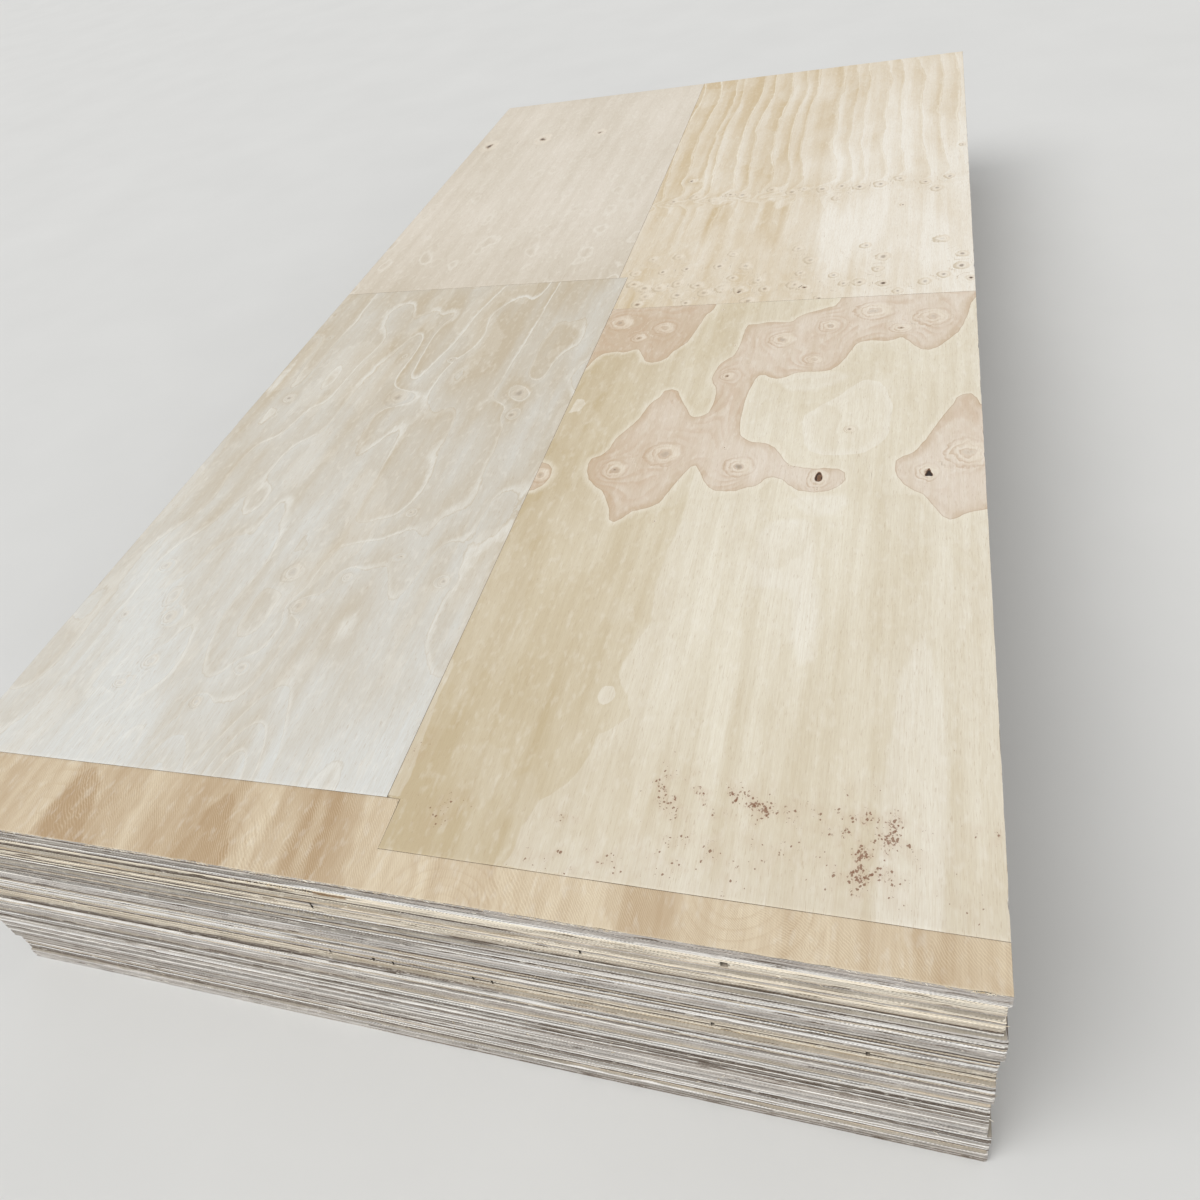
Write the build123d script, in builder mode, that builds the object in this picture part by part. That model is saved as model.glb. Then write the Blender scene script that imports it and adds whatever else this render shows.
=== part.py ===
"""A stack of plywood sheets lying flat on each other, each a little out of line with the rest."""
from build123d import *
import os

os.makedirs("parts", exist_ok=True)

# Sheet. The plies' grain crosses, and runs along the sheet in the first, third, fifth and seventh
sheet_width = 1220.0
sheet_length = 2440.0
ply_thickness = 2.63
ply_count = 7
sheet_thickness = ply_count * ply_thickness

# A ply shrinks across its grain, so it stands back from the saw cut on the edges it lies along
shrinkage = 0.4

# How far each sheet has slid to the right and towards the front, from the bottom sheet up
slides = [
    (-1.5, 1.8),
    (-1.0, -0.6),
    (0.0, -0.5),
    (-4.5, 1.9),
    (-4.5, 2.2),
    (-5.0, 2.4),
    (-5.0, 2.2),
    (-2.5, 0.3),
    (-3.0, 0.0),
    (-3.5, -3.4),
    (-3.0, -3.0),
    (-2.5, -1.3),
    (0.8, 2.1),
    (1.0, 1.6),
    (-3.0, -1.2),
    (-3.0, 2.6),
    (-3.0, 0.0),
    (0.0, 0.3),
]
sheet_count = len(slides)

# Gaps between the core veneers, open at a sheet's front edge: place from the middle and width
core_gap_depth = 25.0
core_gap_plies = 3
core_gaps = {
    10: [(-72.0, 2.5), (-17.0, 4.0), (7.0, 3.0), (103.0, 4.0), (124.0, 2.5), (357.0, 4.0), (501.0, 4.0)],
    16: [(-51.0, 3.0), (243.0, 2.5)],
}

# A loose knot has dropped out of a sheet's front edge
knot_sheet = 17
knot_place = 380.0
knot_width = 10.0
knot_height = 6.5
knot_depth = 14.0

# Face of the top sheet: five veneers in one ply, so the joints between them are one ply deep.
# A strip runs along the front edge, with two veneers behind it on each side of the middle.
# Places across the sheet are from its left edge, and places along it from its front edge
joint_width = 0.8
strip_left = 101.0
strip_corner = 108.0
strip_right = 47.0
corner_across = 628.0
middle_front = 612.0
middle_back = 610.0
left_veneer_end = 1305.0
right_veneer_end = 1180.0
rear_front = 593.0
rear_bend = 587.0
rear_bend_along = 1713.0
rear_back = 570.0

# The middle joint goes on to the end of the longer of the two veneers beside it
middle_end = max(left_veneer_end, right_veneer_end)

# A joint is cut past its end by half its width, which clears the corner or the edge that it ends at
past_end = joint_width / 2

joint_runs = [
    [
        (-past_end, strip_left),
        (corner_across, strip_corner),
        (corner_across, strip_right),
        (sheet_width + past_end, strip_right),
    ],
    [(middle_front, strip_corner), (middle_back, middle_end + past_end)],
    [(-past_end, left_veneer_end), (middle_back, left_veneer_end)],
    [(middle_back, right_veneer_end), (sheet_width + past_end, right_veneer_end)],
    [(rear_front, left_veneer_end), (rear_bend, rear_bend_along), (rear_back, sheet_length + past_end)],
]

# Open knots in that face: place from the right edge and from the front edge, width and length
open_knots = [(206.0, 680.0, 8.0, 22.0), (68.0, 690.0, 8.0, 14.0)]

# The stack stands in the middle of its own outline
rightmost = max(right for right, front in slides)
leftmost = min(right for right, front in slides)
foremost = max(front for right, front in slides)
rearmost = min(front for right, front in slides)
middle_x = (rightmost + leftmost) / 2
middle_y = -(foremost + rearmost) / 2

for number, (right, front) in enumerate(slides, start=1):
    centre_x = right - middle_x
    centre_y = -front - middle_y
    underside = (number - 1) * sheet_thickness

    with BuildPart() as sheet:
        # Plies, from the underside up
        for ply in range(ply_count):
            along_sheet = ply % 2 == 0
            ply_width = sheet_width - (2 * shrinkage if along_sheet else 0)
            ply_length = sheet_length - (0 if along_sheet else 2 * shrinkage)
            with BuildSketch(Plane((centre_x, centre_y, underside + ply * ply_thickness))):
                Rectangle(ply_width, ply_length)
            extrude(amount=ply_thickness)

        # Open gaps in the core, at the front edge
        front_edge = Plane.XZ.offset(sheet_length / 2 - centre_y)
        for gap_place, gap_width in core_gaps.get(number, []):
            with BuildSketch(front_edge):
                with Locations((gap_place, underside + sheet_thickness / 2)):
                    Rectangle(gap_width, core_gap_plies * ply_thickness)
            extrude(amount=-core_gap_depth, mode=Mode.SUBTRACT)

        # Knot hole, at the front edge
        if number == knot_sheet:
            with BuildSketch(front_edge):
                with Locations((knot_place, underside + sheet_thickness / 2)):
                    Ellipse(knot_width / 2, knot_height / 2)
            extrude(amount=-knot_depth, mode=Mode.SUBTRACT)

        # Joints between the veneers of the top sheet's face, and its open knots
        if number == sheet_count:
            front_left = Plane(
                (centre_x - sheet_width / 2, centre_y - sheet_length / 2, underside + sheet_thickness)
            )
            for run in joint_runs:
                with BuildSketch(front_left):
                    with BuildLine():
                        Polyline(*run)
                    trace(line_width=joint_width)
                extrude(amount=-ply_thickness, mode=Mode.SUBTRACT)
            for from_right, from_front, open_width, open_length in open_knots:
                with BuildSketch(front_left):
                    with Locations((sheet_width - from_right, from_front)):
                        Ellipse(open_width / 2, open_length / 2)
                extrude(amount=-ply_thickness, mode=Mode.SUBTRACT)

    sheet.part.label = f"sheet_{number:02d}"
    export_step(sheet.part, f"parts/sheet_{number:02d}.step")
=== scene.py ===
import math

import bpy
import numpy as np
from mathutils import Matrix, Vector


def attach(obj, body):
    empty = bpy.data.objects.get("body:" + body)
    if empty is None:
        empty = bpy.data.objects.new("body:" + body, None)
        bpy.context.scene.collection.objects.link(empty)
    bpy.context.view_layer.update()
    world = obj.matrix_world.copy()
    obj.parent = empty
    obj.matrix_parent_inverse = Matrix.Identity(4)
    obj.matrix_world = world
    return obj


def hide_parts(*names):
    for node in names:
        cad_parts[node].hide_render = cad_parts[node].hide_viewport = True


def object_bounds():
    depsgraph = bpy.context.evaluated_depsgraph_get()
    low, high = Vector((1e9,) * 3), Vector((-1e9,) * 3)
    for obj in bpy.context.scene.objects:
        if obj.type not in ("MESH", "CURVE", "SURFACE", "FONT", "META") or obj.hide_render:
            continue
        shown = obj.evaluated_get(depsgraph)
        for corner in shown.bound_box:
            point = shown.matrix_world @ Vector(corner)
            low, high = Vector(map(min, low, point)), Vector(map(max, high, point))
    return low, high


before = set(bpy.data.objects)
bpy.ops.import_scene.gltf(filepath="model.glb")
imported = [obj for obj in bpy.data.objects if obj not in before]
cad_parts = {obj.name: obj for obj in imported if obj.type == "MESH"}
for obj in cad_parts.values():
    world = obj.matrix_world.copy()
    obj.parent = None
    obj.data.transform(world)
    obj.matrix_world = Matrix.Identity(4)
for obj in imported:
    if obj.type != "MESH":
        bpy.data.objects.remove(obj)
solid_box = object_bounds()


# The sheets under the top one. Each is seven pine veneers, rotary cut, glued with their grain
# crossed and pressed. The saw leaves end grain on every second ply, and the plies between them,
# which lie along the edge, have shrunk back a little from the cut and torn here and there.
ply_count = 7
front_spacing = 0.003
far_spacing = 0.011
ply_shrinkage = 0.0004
ply_thickness = 0.00263

# Colours of the sawn plies, by the wood, its weathering and what it was glued with
ply_colours = {
    "white": (238, 235, 230),
    "straw": (243, 232, 212),
    "cream": (220, 210, 192),
    "fawn": (202, 189, 170),
    "tan": (187, 171, 147),
    "pale": (203, 198, 192),
    "grey": (182, 175, 168),
    "slate": (160, 155, 148),
    "dark": (130, 120, 110),
    "umber": (93, 81, 69),
}

# What the plies of a sheet are mixed of. A core ply is made up of pieces from different logs, so the
# colours of a ply on the left and on the right of its front edge are drawn apart, by chance
ply_mixes = {
    "weathered": ["white", "pale", "pale", "grey", "grey", "slate", "dark"],
    "streaked": ["white", "white", "pale", "grey", "fawn", "slate", "dark", "umber"],
    "warm": ["straw", "cream", "cream", "fawn", "tan", "grey", "umber"],
}
ply_seed = 300

# The mix of each sheet from the lowest up, and how far its lower arris is broken away
sheet_looks = [
    ("weathered", 0.2), ("streaked", 0.5), ("streaked", 0.3), ("weathered", 0.7),
    ("weathered", 0.3), ("streaked", 0.9), ("streaked", 0.9), ("weathered", 0.3),
    ("streaked", 0.3), ("warm", 0.9), ("streaked", 0.9), ("streaked", 0.8),
    ("weathered", 0.6), ("streaked", 0.9), ("streaked", 0.4), ("warm", 0.4),
    ("warm", 1.0), ("weathered", 0.6),
]
sheet_total = len(sheet_looks)

# Pockets in the front edges of three sheets: gaps between core veneers, and a lost knot. Each has
# its place from the middle, its width, its depth and its plies. The columns at its sides stand a
# hair apart, one at the cut, one at its mouth and one at its bottom
pockets = {
    10: [(place, width, 0.025, (2, 3, 4)) for place, width in (
        (-0.072, 0.0025), (-0.017, 0.004), (0.007, 0.003), (0.103, 0.004),
        (0.124, 0.0025), (0.357, 0.004), (0.501, 0.004),
    )],
    16: [(-0.051, 0.003, 0.025, (1, 2, 3, 4, 5)), (0.243, 0.0025, 0.025, (2, 3, 4))],
    17: [(0.380, 0.007, 0.014, (2,)), (0.380, 0.010, 0.014, (3,)), (0.380, 0.007, 0.014, (4,))],
}
# Inside a pocket the plies are painted this near-black: painted shade in the recess
pocket_painted_shade = (40, 32, 26)
pocket_mouth = 0.0012
hair = 0.00004

# The saw tore one ply of these sheets: from where to where along the front edge, and which ply.
# Where it is torn out most, the ply is this much deeper and is darkened nearly to the pocket colour, as
# painted shade in the tear
torn_runs = {17: [(-0.150, -0.050, 5)], 15: [(-0.165, -0.030, 0)]}
torn_run_depth = 0.0026
torn_run_painted_shade = 0.85

# A streak of brown resin shows in the cut of one sheet: from where to where, and in which plies
resin_streaks = {17: [(-0.042, -0.002, (4, 5))]}
resin_shade = (150, 122, 88)


def linear(colour):
    """A written colour, 0 to 255, as the light that it stands for: its share of 255, with an offset, to
    the power 2.4, and in a straight line near black."""
    share = np.asarray(colour, float) / 255
    return np.where(share <= 0.04045, share / 12.92, ((share + 0.055) / 1.055) ** 2.4)


def wander(places, spacing, seed):
    """Smooth chance values from -1 to 1 along a line: one is drawn every spacing, and half cosines
    join them."""
    steps = np.asarray(places, float) / spacing
    first = np.floor(steps).astype(int)
    ease = 0.5 - 0.5 * np.cos(np.pi * (steps - first))
    first = first - first.min()
    drawn = np.random.default_rng(seed).uniform(-1, 1, first.max() + 2)
    return drawn[first] * (1 - ease) + drawn[first + 1] * ease


def pieces_along(places, mean_length, seed):
    """One chance value from -1 to 1 for each of the pieces, of chance lengths, that a line is cut into."""
    chance = np.random.default_rng(seed)
    ends = np.cumsum(chance.uniform(0.3, 1.9, 400) * mean_length)
    return chance.uniform(-1, 1, 401)[np.searchsorted(ends, places)]


def corners_of(node):
    """A sheet's outline corners from front left round to back left, and its lowest and highest place.
    The front edge of its lowest ply gives its direction, and the reach of all its plies along and
    across that direction gives the corners."""
    points = np.empty(len(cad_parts[node].data.vertices) * 3)
    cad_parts[node].data.vertices.foreach_get("co", points)
    points = points.reshape(-1, 3)
    low, high = points[:, 2].min(), points[:, 2].max()
    lowest = points[points[:, 2] < low + 1e-4]
    front_left = lowest[np.argmin(lowest[:, 0] + lowest[:, 1]), :2]
    front_right = lowest[np.argmax(lowest[:, 0] - lowest[:, 1]), :2]
    along = (front_right - front_left) / np.linalg.norm(front_right - front_left)
    across = np.array([-along[1], along[0]])
    places = points[:, :2] @ np.array([along, across]).T
    (left, near), (right, far) = places.min(0), places.max(0)
    outline = np.array([(left, near), (right, near), (right, far), (left, far)])
    return outline @ np.array([along, across]), low, high


def walk_round(corners, extra_front):
    """Columns round a sheet, side after side, closer together on the front. Returns each column's
    place, the inward directions of its own side and (on a corner) of the side before it, its side,
    and its distance from the front left corner."""
    places, inward, inward_before, sides, distances = [], [], [], [], []
    gone = 0.0
    for side in range(4):
        start, end = corners[side], corners[(side + 1) % 4]
        length = np.linalg.norm(end - start)
        direction = (end - start) / length
        count = round(length / (front_spacing if side == 0 else far_spacing))
        steps = np.linspace(0, length, count, endpoint=False)
        if side == 0:
            steps = np.unique(np.concatenate([steps, np.add(extra_front, length / 2)]))
        before = corners[side] - corners[side - 1]
        before = before / np.linalg.norm(before)
        places.append(start + steps[:, None] * direction)
        inward.append(np.tile((-direction[1], direction[0]), (len(steps), 1)))
        corner = np.zeros((len(steps), 2))
        corner[0] = (-before[1], before[0])
        inward_before.append(corner)
        sides.append(np.full(len(steps), side))
        distances.append(gone + steps)
        gone += length
    return [np.concatenate(part) for part in (places, inward, inward_before, sides, distances)]


def ply_depths(number, k, sides, distances, from_middle):
    """How far ply k stands back from the cut all round: chance roughness, its shrinkage where it lies
    along the edge, small tears, and the pockets and torn runs of the front edge. Returns it with where
    the pockets are, and how far each column is torn out, from 0 to 1."""
    seed = 1000 * number
    front = sides == 0
    lies_along = (k % 2 == 1) == (sides % 2 == 0)
    rough = 0.00012 * (1 + wander(distances, 0.011, seed + k))
    shrunk = ply_shrinkage * (0.75 + 0.45 * wander(distances, 0.09, seed + 20 + k))
    torn = 0.0016 * np.clip((wander(distances, 0.028, seed + 40 + k) - 0.62) / 0.38, 0, 1)
    depth = rough + np.where(lies_along, shrunk + torn, 0.3 * torn)
    in_pocket = np.zeros(len(sides), bool)
    for place, width, deep, plies in pockets.get(number, []):
        from_place = abs(from_middle - place)
        inside = front & (from_place < width / 2 - hair / 2) & (k in plies)
        behind_mouth = np.where(from_place < width / 2 - 1.5 * hair, deep, pocket_mouth)
        depth = np.where(inside, behind_mouth, depth)
        in_pocket = in_pocket | inside
    torn_out = np.zeros(len(sides))
    for start, end, torn_ply in torn_runs.get(number, []):
        run = front & (from_middle > start) & (from_middle < end) & (k == torn_ply)
        tear = np.clip(2.5 * wander(distances, 0.009, seed + 50) + 0.5, 0, 1)
        torn_out = np.where(run, tear, torn_out)
    return depth + torn_run_depth * torn_out, in_pocket, torn_out


def ply_tints(number, k, looks, sides, distances, from_middle, in_pocket, torn_out):
    """The colour of ply k all round. The front edge goes from the ply's left look to its right one at a
    place that differs from ply to ply, the right side keeps the right look and the other sides the
    left one. Its tone and warmth change by chance from piece to piece of the ply and along it."""
    seed = 1000 * number
    edge_half = abs(from_middle[0])
    from_back_right = distances - distances[sides == 2].min()
    to_right = [from_middle, 1.0, edge_half - from_back_right]
    on_right = np.select([sides == 0, sides == 1, sides == 2], to_right, -1.0)
    change = 0.03 + 0.16 * np.sin(3.7 * number + 1.9 * k)
    share = np.clip((on_right - change) / 0.03 + 0.5, 0, 1)[:, None]
    left_look, right_look = looks
    base = linear(ply_colours[left_look]) * (1 - share) + linear(ply_colours[right_look]) * share
    # Pockets are painted near-black: painted shade in the recess
    base = np.where(in_pocket[:, None], linear(pocket_painted_shade), base)
    # Torn-out runs are darkened towards the pocket colour: painted shade in the tear
    base = base + torn_run_painted_shade * torn_out[:, None] * (linear(pocket_painted_shade) - base)
    for start, end, plies in resin_streaks.get(number, []):
        resin = (sides == 0) & (from_middle > start) & (from_middle < end) & (k in plies)
        base = np.where(resin[:, None], linear(resin_shade), base)
    tone = (1 + 0.10 * pieces_along(distances, 0.16, seed + 60 + k)
            + 0.07 * wander(distances, 0.06, seed + 80 + k))
    warmth = 0.015 * pieces_along(distances + 0.1, 0.31, seed + 90 + k)
    tint = np.stack([tone * (1 + warmth), tone, tone * (1 - 1.5 * warmth)], 1)
    return np.clip(base * tint, 0, 1)


def set_mark(mesh, name, values):
    """Writes a mark on a mesh's points: a number, a place or a colour for each."""
    kinds = {1: ("FLOAT", "value"), 3: ("FLOAT_VECTOR", "vector"), 4: ("FLOAT_COLOR", "color")}
    values = np.asarray(values, float)
    kind, field = kinds[values.size // len(mesh.vertices)]
    mesh.attributes.new(name, kind, "POINT").data.foreach_set(field, values.ravel())


def wooden_piece(name, points, faces, finishes):
    """A piece of the stack from its points and faces, with its finishes. It rides on the one body."""
    mesh = bpy.data.meshes.new(name)
    mesh.from_pydata(points.tolist(), [], faces)
    for finish in finishes:
        mesh.materials.append(finish)
    piece = bpy.data.objects.new(name, mesh)
    bpy.context.scene.collection.objects.link(piece)
    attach(piece, "root")
    return piece


def sawn_sheet(name, node, number, left_looks, right_looks, lower_break, ply_total):
    """The sawn edge of a sheet as a strip of faces round it, with a cap below and above. Each ply is a
    band between two heights, set in by its depth, and the arris of the lowest and the highest ply is
    broken away by a chance depth and height."""
    corners, low, high = corners_of(node)
    ply = (high - low) / ply_count
    extra = [place + way * (width / 2 + step) for place, width, _, _ in pockets.get(number, [])
             for way in (-1, 1) for step in (0, -hair, -2 * hair)]
    places, inward, inward_before, sides, distances = walk_round(corners, extra)
    from_middle = distances - np.linalg.norm(corners[1] - corners[0]) / 2
    setback, colour = [], []
    for k in range(ply_total):
        depth, in_pocket, torn_out = ply_depths(number, k, sides, distances, from_middle)
        setback.append(depth)
        looks = left_looks[k], right_looks[k]
        colour.append(ply_tints(number, k, looks, sides, distances, from_middle, in_pocket, torn_out))

    # Each band of points: its ply, its height, and how much further in it is than the ply
    seed = 1000 * number
    break_low = 0.5 * wander(distances, 0.17, seed + 101) + 0.35 * wander(distances, 0.03, seed + 102)
    break_low = lower_break * np.clip(0.35 + break_low, 0, 1)
    break_high = 0.45 * wander(distances, 0.12, seed + 103) + 0.4 * wander(distances, 0.02, seed + 104)
    break_high = np.clip(0.1 + break_high, 0, 1)
    last = ply_total - 1
    bands = [(0, 0.0, 0.0004 + 0.004 * break_low), (0, 0.00015 + 0.0013 * break_low, 0.0)]
    for k in range(1, ply_total):
        bands += [(k - 1, k * ply, 0.0), (k, k * ply, 0.0)]
    bands.append((last, ply_total * ply - 0.00015 - 0.0007 * break_high, 0.0))
    bands.append((last, ply_total * ply, 0.0003 + 0.002 * break_high))

    corner_break = 0.0006
    count = len(sides)
    points, point_colours, point_places, point_ends = [], [], [], []
    for k, height, further in bands:
        depth = (setback[k] + further)[:, None]
        xy = places + inward * depth + inward_before * (depth + corner_break)
        z = np.broadcast_to(low + height, count)
        points.append(np.column_stack([xy, z]))
        point_colours.append(np.column_stack([colour[k], np.ones(count)]))
        point_places.append(np.column_stack([distances, z, np.full(count, 0.37 * k + 3.1 * number)]))
        point_ends.append(np.where((k % 2 == 0) == (sides % 2 == 0), 1.0, 0.0))

    ring = np.arange(count)
    following = np.roll(ring, -1)
    step = (np.arange(len(bands) - 1) * count)[:, None]
    quads = np.stack([step + ring, step + following, step + count + following, step + count + ring], -1)
    highest = ring + (len(bands) - 1) * count
    faces = quads.reshape(-1, 4).tolist() + [ring[::-1].tolist(), highest.tolist()]
    piece = wooden_piece(name, np.concatenate(points), faces, (sawn_finish, hidden_face_finish))
    set_mark(piece.data, "ply_colour", np.concatenate(point_colours))
    set_mark(piece.data, "edge_place", np.concatenate(point_places))
    set_mark(piece.data, "end_grain", np.concatenate(point_ends))
    piece.data.polygons.foreach_set("material_index", [0] * (len(faces) - 2) + [1, 1])
    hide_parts(node)
    return piece


def put(tree, kind, inputs=(), **settings):
    """Adds a shader node with its settings. Each input is given a value, or the socket that feeds it."""
    made = tree.nodes.new("ShaderNode" + kind)
    for name, value in settings.items():
        setattr(made, name, value)
    for socket, value in dict(inputs).items():
        if isinstance(value, bpy.types.NodeSocket):
            tree.links.new(value, made.inputs[socket])
        else:
            made.inputs[socket].default_value = value
    return made


def read_mark(tree, name, output="Fac"):
    """A mark that was written on a mesh's points."""
    return put(tree, "Attribute", attribute_name=name).outputs[output]


def calc(tree, operation, *values, clamp=False):
    """One step of arithmetic between numbers and sockets."""
    return put(tree, "Math", dict(enumerate(values)), operation=operation, use_clamp=clamp).outputs[0]


def times(tree, first, second):
    """The product of two values."""
    return calc(tree, "MULTIPLY", first, second)


def plus(tree, first, second):
    """The sum of two values."""
    return calc(tree, "ADD", first, second)


def minus(tree, first, second):
    """The first value less the second."""
    return calc(tree, "SUBTRACT", first, second)


def ramp(tree, value, low, high, to_low=0.0, to_high=1.0):
    """A smooth step from to_low to to_high as the value goes from low to high."""
    inputs = {"Value": value, "From Min": low, "From Max": high, "To Min": to_low, "To Max": to_high}
    return put(tree, "MapRange", inputs, interpolation_type="SMOOTHSTEP").outputs[0]


def blend(tree, amount, first, second, way="MIX"):
    """Mixes two colours: written ones, 0 to 255, or sockets."""
    made = put(tree, "Mix", {"Factor": amount}, data_type="RGBA", blend_type=way)
    for socket, colour in ((6, first), (7, second)):
        if isinstance(colour, bpy.types.NodeSocket):
            tree.links.new(colour, made.inputs[socket])
        else:
            made.inputs[socket].default_value = (*linear(colour), 1)
    return made.outputs[2]


def stretched(tree, place, scales):
    """A place scaled by its own number along each axis, so that a pattern on it is drawn out."""
    return put(tree, "Mapping", {"Vector": place, "Scale": scales}).outputs[0]


def mottle(tree, place, scales, detail, rough=0.5):
    """Chance values, about 0.2 to 0.8, on a scaled place."""
    inputs = {"Vector": stretched(tree, place, scales), "Scale": 1.0, "Detail": detail, "Roughness": rough}
    return put(tree, "TexNoise", inputs).outputs[0]


def new_finish(name):
    """An empty material: its node tree and its shader."""
    material = bpy.data.materials.new(name)
    material.use_nodes = True
    return material, material.node_tree, material.node_tree.nodes["Principled BSDF"]


def complete(tree, shader, colour, roughness, relief=None, bump_strength=0.0, bump_distance=0.0005):
    """Feeds a finish's colour, its roughness and, as a bump, its relief to the shader."""
    tree.links.new(colour, shader.inputs["Base Color"])
    shader.inputs["Roughness"].default_value = roughness
    if relief is not None:
        inputs = {"Height": relief, "Strength": bump_strength, "Distance": bump_distance}
        tree.links.new(put(tree, "Bump", inputs).outputs[0], shader.inputs["Normal"])


# Sawn plies: streaks along the long grain, pores and slanting lathe checks in the end grain, thin
# dark glue lines, pale torn fibres and handling dirt
glue_shade = (92, 76, 60)
tuft_shade = (242, 237, 226)
sawn_finish, tree, shader = new_finish("sawn_plies")
place = read_mark(tree, "edge_place", "Vector")
end_grain = read_mark(tree, "end_grain")
wood = read_mark(tree, "ply_colour", "Color")
along_edge, height, _ = put(tree, "SeparateXYZ", {0: place}).outputs
streak = mottle(tree, place, (16, 1300, 1), 3)
fine_streak = mottle(tree, place, (140, 4200, 1), 2)
pores = mottle(tree, place, (420, 900, 1), 2, 0.6)
tufts = mottle(tree, place, (90, 2600, 1), 2)
dirt = mottle(tree, place, (7, 60, 1), 3)
slant = minus(tree, times(tree, along_edge, 250.0), times(tree, height, 290.0))
slant = plus(tree, slant, times(tree, mottle(tree, place, (60, 900, 1), 2), 2.2))
check = ramp(tree, calc(tree, "PINGPONG", slant, 0.5), 0.05, 0.36, 1.0, 0.0)
check = times(tree, check, ramp(tree, mottle(tree, place, (9, 260, 1), 2), 0.42, 0.62, 0.15, 1.0))
check_depth = put(tree, "Mix", {0: end_grain, 2: 0.22, 3: 0.56}).outputs[0]
long_tone = ramp(tree, streak, 0.3, 0.7, 0.84, 1.1)
long_tone = times(tree, long_tone, ramp(tree, fine_streak, 0.3, 0.7, 0.88, 1.07))
end_tone = ramp(tree, pores, 0.3, 0.7, 0.93, 1.10)
end_tone = times(tree, end_tone, ramp(tree, fine_streak, 0.3, 0.7, 0.93, 1.04))
tone = put(tree, "Mix", {0: end_grain, 2: long_tone, 3: end_tone}).outputs[0]
tone = times(tree, tone, minus(tree, 1.0, times(tree, check, check_depth)))
tone = times(tree, tone, ramp(tree, dirt, 0.35, 0.65, 0.92, 1.05))
in_ply = calc(tree, "FRACT", times(tree, height, 1 / ply_thickness))
from_glue = calc(tree, "MINIMUM", in_ply, minus(tree, 1.0, in_ply))
glue_amount = ramp(tree, mottle(tree, place, (25, 300, 1), 2), 0.35, 0.7, 0.15, 0.9)
glue = times(tree, ramp(tree, from_glue, 0.03, 0.12, 1.0, 0.0), glue_amount)
grey = put(tree, "CombineColor", {0: tone, 1: tone, 2: tone}).outputs[0]
colour = blend(tree, 1.0, wood, grey, "MULTIPLY")
colour = blend(tree, glue, colour, glue_shade)
colour = blend(tree, ramp(tree, tufts, 0.60, 0.68, 0.0, 0.7), colour, tuft_shade)
relief = plus(tree, times(tree, tone, 0.6), times(tree, tufts, 0.4))
complete(tree, shader, colour, 0.82, relief, 0.6)

# Faces between the sheets, which show only where a sheet stands out from the one above
hidden_pale = (198, 192, 180)
hidden_tan = (176, 168, 154)
hidden_fibre = (150, 140, 124)
hidden_face_finish, tree, shader = new_finish("hidden_faces")
place = put(tree, "TexCoord").outputs["Object"]
fibres = mottle(tree, place, (700, 30, 1), 3)
clouds = mottle(tree, place, (14, 3, 1), 2)
colour = blend(tree, ramp(tree, clouds, 0.35, 0.65), hidden_pale, hidden_tan)
colour = blend(tree, ramp(tree, fibres, 0.35, 0.65, 0.0, 0.35), colour, hidden_fibre)
complete(tree, shader, colour, 0.8, fibres, 0.4, 0.0004)

for number, (mix, lower_break) in enumerate(sheet_looks, start=1):
    top_sheet = number == sheet_total
    node = f"sheet_{number:02d}"
    label = "core_of_top_sheet" if top_sheet else f"sawn_{node}"
    ply_total = ply_count - 1 if top_sheet else ply_count
    left_looks, right_looks = np.random.default_rng(ply_seed + number).choice(ply_mixes[mix], (2, ply_total))
    piece = sawn_sheet(label, node, number, left_looks, right_looks, lower_break, ply_total)


# The front strip of the top sheet's face. The face is one layer of five veneers, cut from different
# logs and butted together. This one runs right across the near edge, and is wider on its left.
# It is tan with darker streaks along its short grain, and curly where the tree's roots began.
top_corners, top_low, top_high = corners_of(f"sheet_{len(sheet_looks):02d}")
near_middle = (top_corners[0] + top_corners[1]) / 2
near_edge = top_corners[1] - top_corners[0]
half_width = np.linalg.norm(near_edge) / 2
face_right = near_edge / np.linalg.norm(near_edge)
face_back = np.array([-face_right[1], face_right[0]])
face_length = np.linalg.norm(top_corners[3] - top_corners[0])
veneer_thickness = (top_high - top_low) / ply_count
joint_gap = 0.0001
joint_wall_shade = (176, 148, 112)
sanding_relief = 0.00006

# Places on the face are measured from the middle of its near edge, to the right and to the back
strip_left_depth = 0.101
strip_middle_depth = 0.108
strip_right_depth = 0.047
strip_jog = 0.018
beside_step = 0.0001


def spaced(start, end, spacing, extra=()):
    """Evenly spaced places from start to end, and some more between them."""
    even = np.linspace(start, end, round((end - start) / spacing) + 1)
    return np.unique(np.concatenate([even, extra]))


def step_at(place):
    """The places just before and just after one where a veneer's outline steps."""
    return place - beside_step, place + beside_step


def face_grid(columns, rows, left, right, near, far):
    """A veneer's grid of places. Across, a column keeps its share of the way from left(y) to right(y),
    and a row keeps its share of the way from near(x) to far(x)."""
    across = (columns - columns[0]) / (columns[-1] - columns[0])
    along = (rows - rows[0]) / (rows[-1] - rows[0])
    start, end = left(rows)[:, None], right(rows)[:, None]
    x = start + across[None, :] * (end - start)
    y = near(x) + along[:, None] * (far(x) - near(x))
    return x, y


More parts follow.
